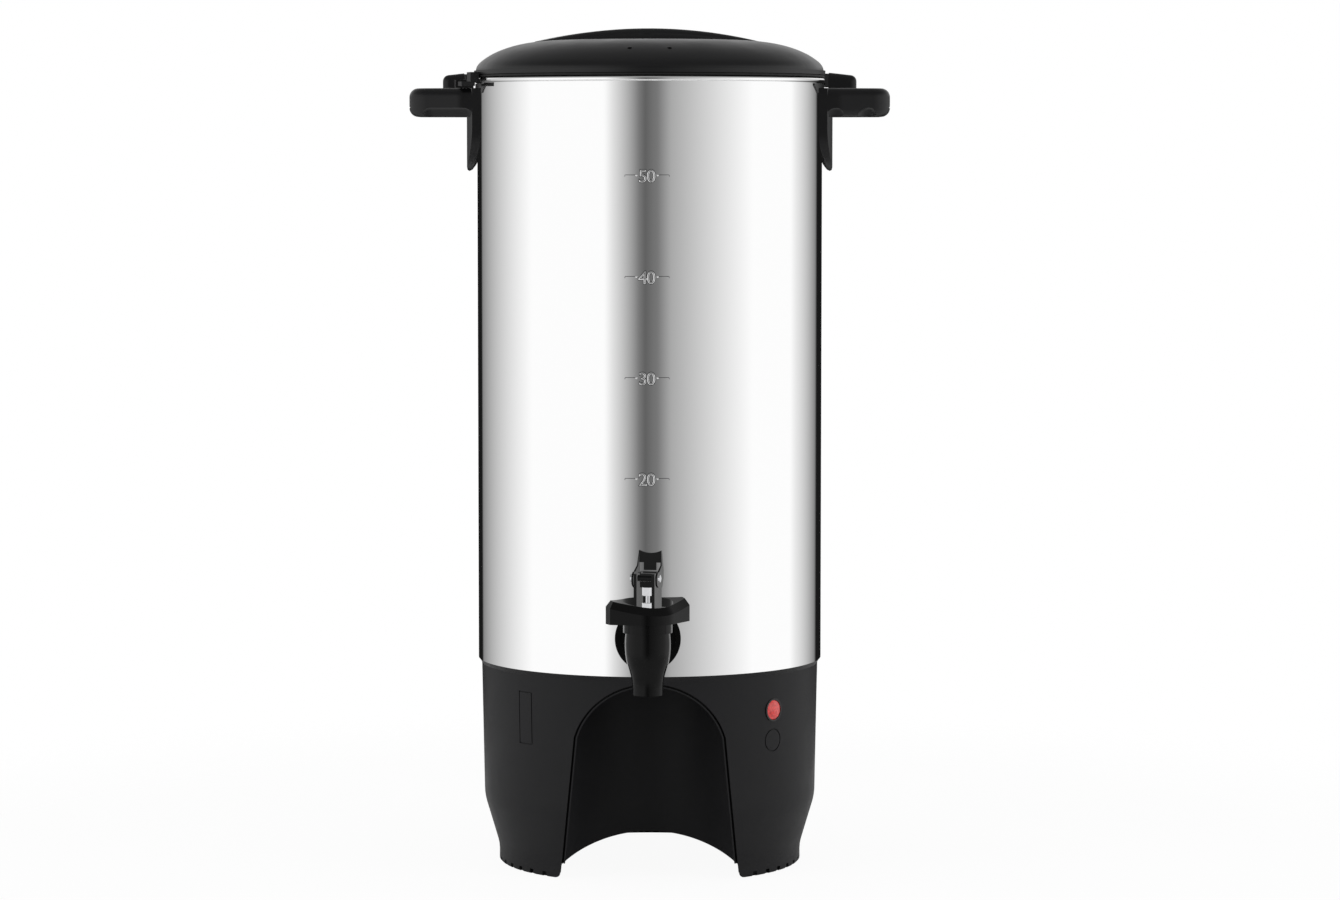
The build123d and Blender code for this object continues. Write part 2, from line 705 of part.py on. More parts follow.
def handle_brackets():
    """Two curved steel plates spot-welded under the rim, behind the handles."""
    outline = Polyline((-34.5, 427.7), (-34.5, 426.5), (-28.5, 422.5), (-18, 422.5), (-18, 404),
                       (18, 404), (18, 422.5), (28.5, 422.5), (34.5, 426.5), (34.5, 427.7), close=True)
    slab = extrude(Plane.XZ.offset(60) * make_face(outline), 40)
    plates = []
    for side in (90, -90):
        plate = slab & ring(DRUM_R + 1.0, DRUM_R + 0.02, 400, 430)
        for shift in (-HANDLE_SCREW_ANGLE, HANDLE_SCREW_ANGLE):
            plate -= at_angle(Pos(0, 0, HANDLE_SCREW_Z) * facing_front(2.2, 90, 98), shift)
        plates.append(at_angle(plate, side))
    return group(plates)


def handle_seals():
    inside = DRUM_R - DRUM_WALL
    seal = facing_front(4.5, inside - 0.9, inside + 1) - facing_front(2.1, 85, 100)
    seal = Pos(0, 0, HANDLE_SCREW_Z) * seal & disc(inside, 400, 430)
    return group(at_angle(seal, angle) for angle in handle_screw_angles())


def handle_screws():
    seat = DRUM_R - DRUM_WALL - 0.9
    screw = facing_front(3.8, seat - 2.2, seat) + facing_front(2.0, seat - 0.5, 102.5)
    screw -= Pos(0, -(seat - 2.2), 0) * Box(4.2, 1.8, 0.9)
    screw -= Pos(0, -(seat - 2.2), 0) * Box(0.9, 1.8, 4.2)
    return group(at_angle(Pos(0, 0, HANDLE_SCREW_Z) * screw, angle) for angle in handle_screw_angles())


def handle_inserts():
    insert = facing_front(2.95, 96.2, 103.0) - facing_front(2.05, 90, 105)
    return group(at_angle(Pos(0, 0, HANDLE_SCREW_Z) * insert, angle) for angle in handle_screw_angles())


# ---- lid ----
def lid_outline():
    """Closed outline of everything under the lid's upper surface, down to the flange."""
    crown = Spline(*LID_CROWN)
    dish = FilletPolyline(*DISH, radius=3.0)
    base = Polyline((0, DISH[-1][1]), (0, LID_FLANGE_Z), (LID_CROWN[0][0], LID_FLANGE_Z), LID_CROWN[0])
    return make_face(Plane.XZ * Wire([*crown.edges(), *dish.edges(), *base.edges()]))


def lid_hollow():
    """Space under the lid's wall."""
    crown = Spline(*[(r - 1.7, z - LID_WALL) for r, z in LID_CROWN[1:]])
    low = LID_FLANGE_Z - 3
    first = LID_CROWN[1]
    start = (first[0] - 1.7, first[1] - LID_WALL)
    last = (LID_CROWN[-1][0] - 1.7, LID_CROWN[-1][1] - LID_WALL)
    under = Polyline(last, (DISH_UNDER[0][0] - 0.8, last[1]), *DISH_UNDER[1:],
                     (0, low), (start[0], low), start)
    return make_face(Plane.XZ * Wire([*crown.edges(), *under.edges()]))


def lid_lug(angle):
    """Hooked bayonet lug: a neck off the flange, a drop and an outward tab."""
    width = (-LUG_HALF_W, LUG_HALF_W)
    run = (80, 120)
    neck = block(run, width, (LID_FLANGE_Z, LUG_TOP)) & ring(LUG_R, LID_R - 0.8, 430, 435)
    head = block(run, width, (LUG_TAB_TOP, LUG_TOP)) & ring(LUG_R, LUG_R - 4.7, 425, 435)
    tab = block(run, width, (LUG_TAB_BOTTOM, LUG_TAB_TOP + 0.1)) & ring(LUG_TAB_R, LUG_R - 2.5, 425, 435)
    return Rot(0, 0, angle) * (neck + head + tab)


def lid_shell():
    shell = revolve(lid_outline(), Axis.Z) - revolve(lid_hollow(), Axis.Z)
    shell += ring(LID_R, 91.0, LID_FLANGE_Z, LID_BAND_TOP)
    shell += ring(92.5, LID_RING_IN, LID_FLANGE_Z, LID_FLANGE_Z + 1.8)
    shell += ring(LID_RING_IN + 2.2, LID_RING_IN, LID_FLANGE_Z - 8.4, LID_FLANGE_Z + 1.0)
    for side in (0, 180):
        shell += lid_lug(LUG_ANGLE + side)
    for side in (-1, 1):
        shell -= Pos(side * STEAM_HOLE_X, STEAM_HOLE_Y, 445) * Rot(25, 0, 0) * Cylinder(1.25, 14)
        shell -= Rot(0, 0, LUG_ANGLE) * Pos(side * LID_SCREW_X, 0, LIFT_GRIP_ROOT) * Cylinder(1.7, 10)
    return shell


def lid_grip():
    """Arched bar across the lid's dish, standing on the dish floor and its wall."""
    half, end_z, root = LIFT_GRIP_HALF, LIFT_GRIP_END, LIFT_GRIP_ROOT
    bow = 35
    bow_z = LIFT_GRIP_TOP - 10.5
    post = bow + 3
    side = make_face([
        ThreePointArc((-half, end_z), (0, LIFT_GRIP_TOP), (half, end_z)),
        Polyline((half, end_z), (half, root), (post, root), (bow, bow_z)),
        ThreePointArc((bow, bow_z), (0, bow_z + 3), (-bow, bow_z)),
        Polyline((-bow, bow_z), (-post, root), (-half, root), (-half, end_z)),
    ])
    bar = extrude(Plane.XZ.offset(-9) * side, 18)
    edges = [e for e in bar.edges() if e.center().Z > end_z + 1.3 and abs(e.center().Y) > 8]
    bar = fillet(edges, 3.5)
    bar -= revolve(lid_outline(), Axis.Z)
    for x in (-LID_SCREW_X, LID_SCREW_X):
        bar -= Pos(x, 0, root + 3) * Cylinder(1.4, 10)
    return Rot(0, 0, LUG_ANGLE) * bar


def lid_grip_screws():
    head = LID_FLANGE_Z - 1.0
    screw = disc(3.0, head, head + 2.25) + disc(1.3, head + 1.4, head + 9.9)
    screw -= Pos(0, 0, head) * Box(3.2, 0.8, 1.6)
    screw -= Pos(0, 0, head) * Box(0.8, 3.2, 1.6)
    return group(Rot(0, 0, LUG_ANGLE) * Pos(x, 0, 0) * screw for x in (-LID_SCREW_X, LID_SCREW_X))


def lid_seal():
    upper = ring(LID_R - 0.4, SEAL_IN, RIM_TOP + 0.3, LID_FLANGE_Z - 0.3)
    return upper + ring(SEAL_IN + 2.3, SEAL_IN, RIM_TOP - 6.4, RIM_TOP + 0.4)


# ---- percolator ----
def percolator_tube():
    tube = ring(TUBE_R, TUBE_R - 0.8, 121, TUBE_TOP)
    return tube + ring(8.0, TUBE_R - 0.1, BASKET_Z - 2.5, BASKET_Z - 0.5)


def percolator_foot():
    low = WELL_BOTTOM + FLOOR_T + 0.2
    bell = turned((21, low), (21, low + 1.2), (9, 119), (6.4, 122), (6.4, 128), (4.55, 128), (4.55, 120.5),
                  (8, 118), (19.4, low + 1.4), (19.4, low))
    for angle in range(0, 360, 45):
        bell -= at_angle(Pos(0, -20.5, low) * Box(4, 6, 1.6), angle)
    return bell


def pump_disc():
    low = WELL_BOTTOM + FLOOR_T + 0.3
    return ring(12.0, 3.0, low, low + 1.0)


def basket_holes(low, high, size):
    holes = []
    for count, radius in BASKET_HOLES:
        hole = Pos(0, -radius, 0) * disc(size, low, high)
        holes += [at_angle(hole, 360 * i / count) for i in range(count)]
    return group(holes)


def coffee_basket():
    top = BASKET_Z + BASKET_H
    cup = disc(BASKET_R, BASKET_Z, top) - disc(BASKET_R - 0.8, BASKET_Z + 0.8, top + 1)
    cup += ring(BASKET_R + 1.2, BASKET_R - 0.8, top - 1.2, top)
    cup += ring(6.2, TUBE_R + 0.3, BASKET_Z, top - 6)
    cup -= disc(TUBE_R + 0.3, BASKET_Z - 1, BASKET_Z + 5)
    return cup - basket_holes(BASKET_Z - 1, BASKET_Z + 2, 0.9)


def basket_cover():
    low = BASKET_Z + BASKET_H + 0.1
    lid = disc(BASKET_R + 1.2, low, low + 0.8) + ring(BASKET_R - 1.2, BASKET_R - 2.0, low - 4, low + 0.4)
    lid += ring(6.5, TUBE_R + 0.2, low, low + 4)
    lid -= disc(TUBE_R + 0.3, low - 1, low + 5)
    return lid - basket_holes(low - 1, low + 2, 1.1)


# ---- tap ----
def drum_around_tap(grow=0.0):
    return Pos(-TAP_X, -TAP_Y, 0) * disc(DRUM_R + grow, 60, 220)


def along_y(radius, near, far, z=TAP_Z):
    return Pos(0, (near + far) / 2, z) * Rot(90, 0, 0) * Cylinder(radius, far - near)


def tap_barrel():
    """Outside of the barrel and spout, with the band under the winged collar."""
    side = Spline((SPOUT_R, SPOUT_TIP_Z), (SPOUT_R + 0.1, 112), (SPOUT_R + 0.8, 117), (10.9, 123.5),
                  (11.8, 129), (BARREL_R, 134), (THREAD_R, RING_BOTTOM))
    top = Polyline((THREAD_R, RING_BOTTOM), (RING_R, RING_BOTTOM), (RING_R, RING_TOP), (THREAD_R, RING_TOP),
                   (THREAD_R, BARREL_TOP), (0, BARREL_TOP), (0, SPOUT_TIP_Z), (SPOUT_R, SPOUT_TIP_Z))
    return revolve(make_face(Plane.XZ * Wire([*side.edges(), *top.edges()])), Axis.Z)


def tap_body():
    """Barrel and spout with a threaded shank that runs back through the drum's wall."""
    barrel = tap_barrel()
    seam = block((-0.25, 0.25), (-BARREL_R - 1, -5), (SPOUT_TIP_Z, RING_BOTTOM)) & Pos(0, -0.2, 0) * barrel
    body = barrel + seam
    body += along_y(NECK_R, 5, SHOULDER_FRONT + 0.5)
    body += along_y(SHOULDER_R, SHOULDER_FRONT, DRUM_FACE - FLANGE_T)
    body += along_y(SHANK_R, SHOULDER_FRONT, DRUM_FACE + SHANK_INSIDE)
    body -= disc(SPOUT_BORE_R, SPOUT_TIP_Z - 1, SEAT_Z + 1)
    body -= disc(CHAMBER_R, SEAT_Z, BARREL_TOP + 1)
    body -= along_y(SHANK_BORE_R, 3, 60)
    notch = block((-0.4, 0.4), (-RING_R - 1, -THREAD_R - 0.6), (RING_BOTTOM - 1, RING_TOP + 0.1))
    for angle in RING_NOTCHES:
        body -= at_angle(notch, angle)
    return at_tap(body)


def tap_escutcheon():
    """Round flange with a proud rim; its back follows the drum."""
    face = DRUM_FACE - FLANGE_T
    flange = along_y(ESCUTCHEON_R, face, DRUM_FACE + 6) - along_y(15.4, face + 1.2, DRUM_FACE + 7)
    flange += along_y(ESCUTCHEON_R, face - 0.6, face + 0.5) - along_y(14.6, face - 2, face + 1)
    flange -= along_y(SHANK_R + 0.1, 0, 60)
    return at_tap(flange - drum_around_tap(0.15))


def tap_outer_washer():
    washer = along_y(15.0, DRUM_FACE - 1.0, DRUM_FACE + 6) - along_y(SHANK_R + 0.1, 0, 60)
    return at_tap(washer - drum_around_tap())


def tap_inner_washer():
    inside = drum_around_tap(-DRUM_WALL)
    washer = along_y(14.0, DRUM_FACE + 0.3, DRUM_FACE + 4) - along_y(SHANK_R + 0.1, 0, 60)
    return at_tap(washer & inside)


def tap_lock_nut():
    hexagon_bar = Pos(0, DRUM_FACE + 4, TAP_Z) * Rot(-90, 0, 0) * hexagon(26, 0, 6)
    return at_tap(hexagon_bar - along_y(SHANK_R + 0.05, 0, 60))


def along_x(radius, low, high, y, z):
    return Pos((low + high) / 2, y, z) * Rot(0, 90, 0) * Cylinder(radius, high - low)


def tap_bonnet():
    """Cap over the valve chamber, with the upright channel that carries the lever between its ears."""
    cap = disc(CAP_R, BARREL_TOP + 0.1, CAP_TOP) + disc(CHAMBER_R - 0.3, PLUG_BOTTOM, BARREL_TOP + 0.2)
    cap += disc(5.0, CAP_TOP - 0.3, GLAND_BOTTOM)
    ears = block((-EAR_OUT, EAR_OUT), (-7.5, 7.0), (CAP_TOP - 0.3, EAR_TOP))
    ears -= block((-EAR_IN, EAR_IN), (-8, 5.4), (CAP_TOP, EAR_TOP + 1))
    ears += along_x(PIVOT_BOSS_R, -EAR_IN, EAR_IN, LEVER_PIVOT_Y, LEVER_PIVOT_Z)
    cap += ears & disc(9.9, CAP_TOP - 1, EAR_TOP + 1)
    cap -= along_x(PIN_R + 0.02, -9, 9, LEVER_PIVOT_Y, LEVER_PIVOT_Z)
    cap -= block((-9, 9), (-1.2, 1.2), (YOKE_PIN_Z, EAR_TOP + 1))
    cap -= along_x(1.2, -9, 9, 0, YOKE_PIN_Z)
    cap -= disc(STEM_R + 0.08, PLUG_BOTTOM - 1, GLAND_BOTTOM + 1)
    cap -= disc(6.2, PLUG_BOTTOM - 1, SPRING_TOP + 0.1)
    return at_tap(cap, TAP_TWIST)


def stem_gland():
    """Hexagonal packing nut that the stem slides through."""
    nut = hexagon(5.4, GLAND_BOTTOM, GLAND_TOP) - disc(STEM_R + 0.08, GLAND_BOTTOM - 1, GLAND_TOP + 1)
    return at_tap(nut, TAP_TWIST)


def lever_pin():
    pin = along_x(PIN_R, -7.4, 7.4, LEVER_PIVOT_Y, LEVER_PIVOT_Z)
    for side in (-1, 1):
        low, high = sorted((side * 7.3, side * 8.0))
        pin += along_x(PIN_HEAD_R, low, high, LEVER_PIVOT_Y, LEVER_PIVOT_Z)
    return at_tap(pin, TAP_TWIST)


def lever_cheek():
    """Side view of one cheek, in (y, z) from the pivot."""
    lower = ThreePointArc((-2.5, -2.9), (0, -4.7), (3.0, -5.5))
    plate = LEVER_TOP - 1.6 - LEVER_PIVOT_Z
    back = Polyline((3.0, -5.5), (7.9, -5.5), (10.7, -0.5), (10.9, plate), (8.9, plate), (7.7, 6.0),
                    (1.5, 3.1))
    crown = ThreePointArc((1.5, 3.1), (-1.5, 2.4), (-2.9, 0))
    front = Line((-2.9, 0), (-2.5, -2.9))
    outline = Wire([*lower.edges(), *back.edges(), *crown.edges(), *front.edges()])
    return Pos(0, LEVER_PIVOT_Y, LEVER_PIVOT_Z) * make_face(Plane.YZ * outline)


def tap_lever():
    """Forked lever: two cheeks outside the ears and an upright thumb plate with a fishtail top."""
    cheek = extrude(lever_cheek(), CHEEK_OUT - CHEEK_IN)
    cheeks = Pos(CHEEK_IN, 0, 0) * cheek + Pos(-CHEEK_OUT, 0, 0) * cheek
    web = block((-CHEEK_OUT, CHEEK_OUT), (LEVER_FACE_Y, LEVER_BACK_Y), (WEB_BOTTOM, LEVER_TOP))
    low = LEVER_PIVOT_Z - 8
    top_half = CHEEK_OUT - 0.9
    taper = Polyline((-CHEEK_OUT, low), (-CHEEK_OUT, WEB_BOTTOM), (-top_half, LEVER_TOP),
                     (top_half, LEVER_TOP), (CHEEK_OUT, WEB_BOTTOM), (CHEEK_OUT, low), close=True)
    lever = (web + cheeks) & extrude(make_face(Plane.XZ * taper), 20, both=True)
    lever -= Pos(0, 5, LEVER_TOP - FISHTAIL_DIP + FISHTAIL_R) * Rot(90, 0, 0) * Cylinder(FISHTAIL_R, 10)
    for side in (-1, 1):
        lever -= block(sorted((side * 3.4, side * 5.9)), (4, 7), (WEB_BOTTOM - 1, SLOT_TOP))
    lever -= along_x(PIN_R + 0.04, -9, 9, LEVER_PIVOT_Y, LEVER_PIVOT_Z)
    lever -= yoke_slot()
    return at_tap(lever, TAP_TWIST)


def yoke_slot():
    """Slot in both cheeks that carries the yoke's cross pin up as the lever comes forward."""
    half = 1.15
    near = LEVER_PIVOT_Y + 4.3
    far = LEVER_PIVOT_Y + 5.4
    slot = block((-9, 9), (near, far), (YOKE_PIN_Z - half, YOKE_PIN_Z + half))
    slot += along_x(half, -9, 9, near, YOKE_PIN_Z) + along_x(half, -9, 9, far, YOKE_PIN_Z)
    return slot


def valve_stem():
    """Rod from the seat cup to the yoke."""
    return at_tap(disc(STEM_R, STEM_FOOT, STEM_HEAD), TAP_TWIST)


def stem_nut():
    nut = hexagon(5.3, NUT_BOTTOM, NUT_TOP) - disc(STEM_R + 0.02, NUT_BOTTOM - 1, NUT_TOP + 1)
    return at_tap(nut, TAP_TWIST)


def stem_yoke():
    yoke = block((-3.6, 3.6), (-2.6, 2.6), (NUT_TOP + 0.1, YOKE_PIN_Z + 2.6))
    yoke -= disc(STEM_R + 0.02, NUT_TOP - 1, STEM_HEAD + 0.05)
    yoke -= along_x(YOKE_PIN_R + 0.02, -9, 9, 0, YOKE_PIN_Z)
    return at_tap(yoke, TAP_TWIST)


def yoke_pin():
    return at_tap(along_x(YOKE_PIN_R, -7.2, 7.2, 0, YOKE_PIN_Z), TAP_TWIST)


def seat_cup():
    low = SEAT_Z + 0.15
    cup = turned((0, low), (6.6, low), (7.6, 125.6), (7.6, 128.5), (4.5, 131.5), (0, 131.5))
    return at_tap(cup - disc(STEM_R + 0.02, STEM_FOOT - 0.05, 135), TAP_TWIST)


def stem_spring():
    """Return spring between the cap and the seat cup."""
    wire_r = 0.4
    foot = 132.4
    path = Helix(pitch=2.4, height=SPRING_TOP - wire_r - foot, radius=3.2)
    start = Plane(origin=path @ 0, z_dir=path % 0)
    coil = sweep(start * Circle(wire_r), path=path)
    return at_tap(Pos(0, 0, foot) * coil, TAP_TWIST)


def wing_collar():
    """Winged ring nut that holds the cap down; its top is dished along the wings and dips to the front."""
    plan = make_hull([
        *Circle(COLLAR_R).edges(),
        Line((-WING_TIP, -WING_TIP_HALF), (-WING_TIP, WING_TIP_HALF)),
        Line((WING_TIP, -WING_TIP_HALF), (WING_TIP, WING_TIP_HALF)),
    ])
    nut = Pos(0, 0, COLLAR_BOTTOM) * extrude(plan, COLLAR_RIM_Z + 6 - COLLAR_BOTTOM)
    bowl = Rot(90, 0, 0) * Cylinder(COLLAR_DISH_R, 90)
    nut -= Pos(0, 0, COLLAR_RIM_Z) * Rot(COLLAR_DISH_TILT, 0, 0) * Pos(0, 0, COLLAR_DISH_R) * bowl
    top = nut.faces().sort_by(Axis.Z)[-1]
    nut = chamfer(top.edges(), COLLAR_BEVEL_OUT, COLLAR_BEVEL_DOWN, reference=top)
    nut -= disc(THREAD_R + 0.4, COLLAR_BOTTOM - 1, BARREL_TOP + 0.4)
    nut -= disc(CAP_R + 0.3, BARREL_TOP - 0.1, CAP_TOP + 0.3)
    nut -= disc(10.4, CAP_TOP, COLLAR_RIM_Z + 10)
    nut -= disc(COLLAR_OPENING_R, CAP_TOP + 1.1, COLLAR_RIM_Z + 10)
    return at_tap(nut, COLLAR_TWIST)


PIECES = (
    vessel_drum, vessel_floor, heating_well, main_heater, keep_warm_heater, heater_bracket, thermostat,
    thermal_fuse, base_skirt, bay_liner, bottom_cover, base_screws, rubber_feet, floor_studs, stud_nuts,
    lamp_bezel, lamp_lens, lamp_bulb, cord_bush, terminal_block, terminal_screws, heater_leads, lamp_leads,
    left_handle, right_handle, handle_brackets, handle_seals, handle_screws, handle_inserts,
    lid_shell, lid_grip, lid_grip_screws, lid_seal,
    percolator_tube, percolator_foot, pump_disc, coffee_basket, basket_cover,
    tap_body, tap_escutcheon, tap_outer_washer, tap_inner_washer, tap_lock_nut, tap_bonnet, stem_gland,
    lever_pin, tap_lever, valve_stem, stem_nut, stem_yoke, yoke_pin, seat_cup, stem_spring, wing_collar,
)

os.makedirs("parts", exist_ok=True)
for piece in PIECES:
    export_step(piece(), f"parts/{piece.__name__}.step")
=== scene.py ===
import bmesh
import bpy
import json
from math import cos, pi, radians, sin
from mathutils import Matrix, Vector


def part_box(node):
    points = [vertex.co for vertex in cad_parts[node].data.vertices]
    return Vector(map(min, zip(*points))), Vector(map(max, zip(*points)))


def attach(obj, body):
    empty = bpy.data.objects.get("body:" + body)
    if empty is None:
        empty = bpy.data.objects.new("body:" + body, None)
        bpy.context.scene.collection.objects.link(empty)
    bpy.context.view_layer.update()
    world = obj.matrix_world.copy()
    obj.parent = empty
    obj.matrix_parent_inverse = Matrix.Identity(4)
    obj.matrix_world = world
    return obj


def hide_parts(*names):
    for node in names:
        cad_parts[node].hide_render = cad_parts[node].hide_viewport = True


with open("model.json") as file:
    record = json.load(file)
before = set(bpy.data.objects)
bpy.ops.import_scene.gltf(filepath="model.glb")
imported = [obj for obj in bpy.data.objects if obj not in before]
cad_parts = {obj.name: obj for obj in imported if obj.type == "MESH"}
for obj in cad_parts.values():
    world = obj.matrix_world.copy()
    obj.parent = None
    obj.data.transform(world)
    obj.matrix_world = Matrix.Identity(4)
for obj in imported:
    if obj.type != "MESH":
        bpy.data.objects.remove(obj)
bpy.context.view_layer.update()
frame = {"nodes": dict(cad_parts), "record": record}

# Coffee urn: polished drum, black moulded base, lid, handles and tap. Places are in metres, and lengths
# given in mm are times MM. The level marks alone are drawn in plain mm.
MM = 0.001

# Drum: a plain wall with a bead rolled round its top, whose section runs from RIM_START outside, up and over,
# to RIM_END inside
DRUM_WALL = 0.6 * MM
DRUM_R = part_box("vessel_floor")[1].x + DRUM_WALL
RIM_R = 1.5 * MM
RIM_START = -pi / 2
RIM_END = 1.37 * pi
RIM_STEPS = 32
DRUM_SIDES = 360
SHARP_EDGE = radians(40)

# Level marks pressed into the drum's front, one for every ten cups. A weight thickens a digit's strokes, and
# a rise rounds them off that far from the drum.
LOWEST_CUPS = 20
LOWEST_Z = 218.0
TEN_CUPS = 53.4
LEVELS = {str(cups): LOWEST_Z + TEN_CUPS * (cups - LOWEST_CUPS) / 10 for cups in (20, 30, 40, 50)}
MARK_X = -1.4
DIGIT_HEIGHT = 6.6
FONT_SIZE = DIGIT_HEIGHT / 0.7
DIGIT_SPACING = 0.92
# Each digit is drawn twice: polished, and as a wider, flatter copy under it in darkened steel, which paints
# shade round its strokes. The ticks are painted dark the same way.
BRIGHT_WEIGHT, BRIGHT_RISE = -0.24, 0.36
SHADE_OUTLINE_WEIGHT, SHADE_OUTLINE_RISE = 0.3, 0.1
STROKE_R = 0.16
TICK_INNER = 5.7
TICK_OUTER = 11.6
TICK_RISE = 0.5
TICK_STEPS = 8
HOOK_DROP = 0.9
HOOK_OUT = 0.2
DOT_R = 0.55
DOT_X = TICK_INNER - 0.1
DOT_RISE = 0.3

# Camera: how far in front of the urn's axis it stands, how high, its tilt in degrees from straight down,
# its lens in mm, and how many pixels of the frame's width the axis stands left of the middle
CAMERA_DISTANCE = 2261 * MM
CAMERA_HEIGHT = 393.6 * MM
CAMERA_TILT = 85.776
CAMERA_LENS = 110.4
FRAME_WIDTH = 1340
AXIS_OFFSET_PX = 20.3

# Studio, seen from above: azimuth 0 is the camera's side, 90 the right-hand side and 180 behind. Each line
# names what stands there and gives the azimuths where it starts and ends, each with the brightness there.
STUDIO = (
    ("black card behind, left", -180, 0.01, -153, 0.01),
    ("left box, feathered edge", -150, 0.25, -85, 1.1),
    ("left box", -85, 1.1, -30, 1.1),
    ("left box's fall-off towards the camera", -24, 0.83, -7, 0.21),
    ("gap round the camera", -3, 0.13, 3, 0.19),
    ("right reflector, near edge", 5, 0.2, 14, 0.44),
    ("right box", 72, 1.1, 108, 1.1),
    ("right box, feathered edge", 115, 0.9, 146, 0.25),
    ("black card behind, right", 150, 0.01, 180, 0.01),
)
# The studio's ceiling and the lit wall behind the urn: how bright they are, and where each starts and is
# full. A climb is 0 for level and 1 for straight up, and a depth is 0 for sideways and 1 for straight back.
CEILING = 0.3
CEILING_CLIMB = (0.25, 0.6)
BACK_WALL = 0.9
BACK_WALL_DEPTH = (0.3, 0.8)
BACK_WALL_FOOT = (0.02, 0.1)
BACK_WALL_TOP = (0.6, 0.3)

# Soft boxes for the matt surfaces, aimed at the drum's middle: name, place, size and power in watts
AIM = Vector((0, 0, 0.25))
SOFT_BOXES = (
    ("left_box", (-1.7, -0.8, 0.4), (0.8, 1.0), 17),
    ("right_box", (1.7, -0.8, 0.4), (0.8, 1.0), 17),
    ("top_box", (0, -0.2, 1.7), (1.4, 1.0), 9),
)

# Table top: solid out to the inner radius, then fading to nothing at its edge. The glow is the share of plain
# white in what the camera sees of it.
FLOOR_CLEAR_R = 0.34
FLOOR_R = 0.62
FLOOR_GLOW = 0.94
FLOOR_DROP = 0.2 * MM
FLOOR_SIDES = 96

# What the drum doesn't mirror: the finishes of the tap, the handles and their fittings
UNMIRRORED = (
    "tap_plastic", "handle_plastic", "bright_chrome", "bracket_steel", "brass_fittings", "zinc_steel",
)

# Most of a noise pattern lies between these values
NOISE_LOW, NOISE_HIGH = 0.25, 0.75

# Sockets of the Mix node when it mixes colours
MIX_SHARE, MIX_FROM, MIX_TO, MIX_RESULT = 0, 6, 7, 2


# ---- shader helpers ----
def linear(code):
    """An sRGB hex colour as linear RGBA."""
    channels = [int(code[i:i + 2], 16) / 255 for i in (1, 3, 5)]
    return [c / 12.92 if c <= 0.04045 else ((c + 0.055) / 1.055) ** 2.4 for c in channels] + [1.0]


def grey(level):
    """A grey of this brightness as linear RGBA."""
    return (level, level, level, 1)


def add(tree, kind, settings=(), links=()):
    """Adds a node: settings are its properties or unlinked sockets, and links join outputs to its sockets."""
    made = tree.nodes.new(kind)
    for name, value in dict(settings).items():
        if isinstance(name, int) or name in made.inputs:
            made.inputs[name].default_value = value
        else:
            setattr(made, name, value)
    for name, source in dict(links).items():
        tree.links.new(source, made.inputs[name])
    return made


def sort_terms(terms):
    """Splits terms by socket into plain values and other nodes' outputs."""
    links = {socket: term for socket, term in terms.items() if isinstance(term, bpy.types.NodeSocket)}
    return {socket: term for socket, term in terms.items() if socket not in links}, links


def calculate(tree, operation, first, second):
    """One operation on two terms, each a number or another node's output."""
    values, links = sort_terms({0: first, 1: second})
    return add(tree, "ShaderNodeMath", {"operation": operation, **values}, links).outputs[0]


def mix(tree, share, first, second):
    """The colour that lies from first to second by share, each a colour or another node's output."""
    values, links = sort_terms({MIX_SHARE: share, MIX_FROM: first, MIX_TO: second})
    return add(tree, "ShaderNodeMix", {"data_type": "RGBA", **values}, links).outputs[MIX_RESULT]


def between(tree, value, ends, smooth=False):
    """Runs from 0 where value is at the first end to 1 at the second."""
    settings = {"From Min": ends[0], "From Max": ends[1]}
    if smooth:
        settings["interpolation_type"] = "SMOOTHSTEP"
    return add(tree, "ShaderNodeMapRange", settings, {"Value": value}).outputs["Result"]


def begin(name, colour, roughness, metallic=0.0, ior=1.5):
    """A material with its plain values set, and the place on the urn, in metres, that its patterns follow."""
    material = bpy.data.materials.new(name)
    material.use_nodes = True
    tree = material.node_tree
    shader = tree.nodes["Principled BSDF"]
    shader.inputs["Base Color"].default_value = linear(colour)
    shader.inputs["Roughness"].default_value = roughness
    shader.inputs["Metallic"].default_value = metallic
    if not metallic:
        shader.inputs["IOR"].default_value = ior
    place = add(tree, "ShaderNodeTexCoord").outputs["Object"]
    return material, tree, shader, place


def vary(tree, shader, pattern, socket, low, high):
    """Drives one of the shader's sockets between two values by a noise pattern."""
    ends = {"From Min": NOISE_LOW, "From Max": NOISE_HIGH, "To Min": low, "To Max": high}
    spread = add(tree, "ShaderNodeMapRange", ends, {"Value": pattern})
    tree.links.new(spread.outputs["Result"], shader.inputs[socket])


def tint(tree, shader, pattern, first, second):
    """Drives the colour from one hex colour to another by a pattern from 0 to 1."""
    tree.links.new(mix(tree, pattern, linear(first), linear(second)), shader.inputs["Base Color"])


def emboss(tree, shader, pattern, strength, depth_mm):
    """Bumps the surface by a pattern depth_mm deep, and less where strength is below 1."""
    bump = add(tree, "ShaderNodeBump", {"Strength": strength, "Distance": depth_mm * MM}, {"Height": pattern})
    tree.links.new(bump.outputs["Normal"], shader.inputs["Normal"])


def grain(tree, place, size_mm, detail=2.0, stretch=(1, 1, 1)):
    """Noise whose blotches are size_mm across, drawn out along an axis where stretch is below 1."""
    scaled = add(tree, "ShaderNodeMapping", {"Scale": stretch}, {"Vector": place})
    noise = add(tree, "ShaderNodeTexNoise", {"Scale": 1 / (size_mm * MM), "Detail": detail},
                {"Vector": scaled.outputs["Vector"]})
    return noise.outputs["Fac"]


# ---- metals ----
def polished_steel():
    """Buffed stainless sheet: a near mirror with faint upright polishing lines, drawn 1 mm wide to show."""
    material, tree, shader, place = begin("polished stainless sheet", "#f2f2f2", 0.05, metallic=1.0)
    lines = grain(tree, place, 1.0, 3.0, (1, 1, 0.012))
    vary(tree, shader, lines, "Roughness", 0.035, 0.065)
    emboss(tree, shader, lines, 0.06, 0.01)
    return material


